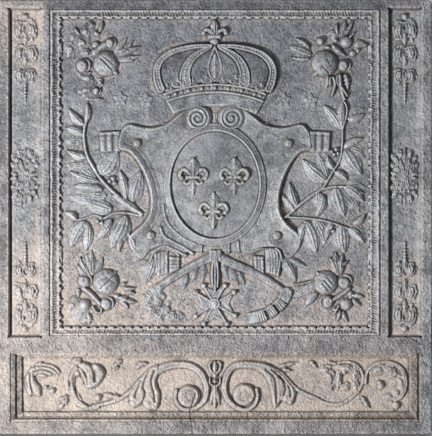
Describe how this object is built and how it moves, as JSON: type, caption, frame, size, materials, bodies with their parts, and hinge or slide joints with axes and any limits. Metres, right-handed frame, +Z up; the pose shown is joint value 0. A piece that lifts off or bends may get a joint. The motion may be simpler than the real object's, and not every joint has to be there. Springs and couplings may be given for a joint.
{
  "type": "cast-iron fireback",
  "caption": "Square cast-iron fireback with crowned oval shield, laurel, fruit sprays, side panels and a scroll frieze; stands on the hearth against the chimney wall.",
  "frame": {"origin": "middle of the bottom edge, half way through the whole depth, on the hearth floor", "axes": "+Z up, the ornamented front faces -Y, the plain back faces +Y, +X to the right seen from the front"},
  "size_m": [0.86, 0.032, 0.86],
  "materials": {
    "grey_iron": "rough sand-cast",
    "worn_iron": "rough sand-cast, rubbed on the high edges",
    "dusty_iron": "rough sand-cast with tan rust dust"
  },
  "bodies": {
    "root": {"back_plate": "grey_iron", "left_outer_stile": "worn_iron", "right_outer_stile": "worn_iron", "left_inner_stile": "worn_iron", "right_inner_stile": "worn_iron", "top_rail": "worn_iron", "middle_rail": "worn_iron", "bottom_rail": "worn_iron", "leaf_moulding_top": "worn_iron", "leaf_moulding_base": "worn_iron", "leaf_moulding_left": "worn_iron", "leaf_moulding_right": "worn_iron", "frieze_moulding_top": "dusty_iron", "frieze_moulding_base": "dusty_iron", "frieze_moulding_left": "dusty_iron", "frieze_moulding_right": "dusty_iron", "cartouche": "worn_iron", "shield": "worn_iron", "lily_left": "grey_iron", "lily_right": "grey_iron", "lily_base": "grey_iron", "cartouche_volutes": "worn_iron", "cartouche_bosses": "grey_iron", "left_console": "worn_iron", "right_console": "worn_iron", "crown_cap": "grey_iron", "crown_band": "worn_iron", "crown_arches": "worn_iron", "crown_fleurons": "worn_iron", "crown_finial": "worn_iron", "left_laurel": "grey_iron", "right_laurel": "grey_iron", "pomegranate_top_left": "grey_iron", "pomegranate_top_right": "grey_iron", "pomegranate_base_left": "grey_iron", "pomegranate_base_right": "grey_iron", "ribbon": "worn_iron", "collar": "worn_iron", "order_cross": "worn_iron", "tassel": "worn_iron", "mantling_left": "worn_iron", "mantling_right": "worn_iron", "field_florets": "grey_iron", "husks_top_left": "grey_iron", "husks_top_right": "grey_iron", "husks_base_left": "grey_iron", "husks_base_right": "grey_iron", "rosette_left": "grey_iron", "rosette_right": "grey_iron", "frieze_scroll_left": "dusty_iron", "frieze_scroll_right": "dusty_iron", "frieze_palmette": "dusty_iron"}
  },
  "joints": []
}
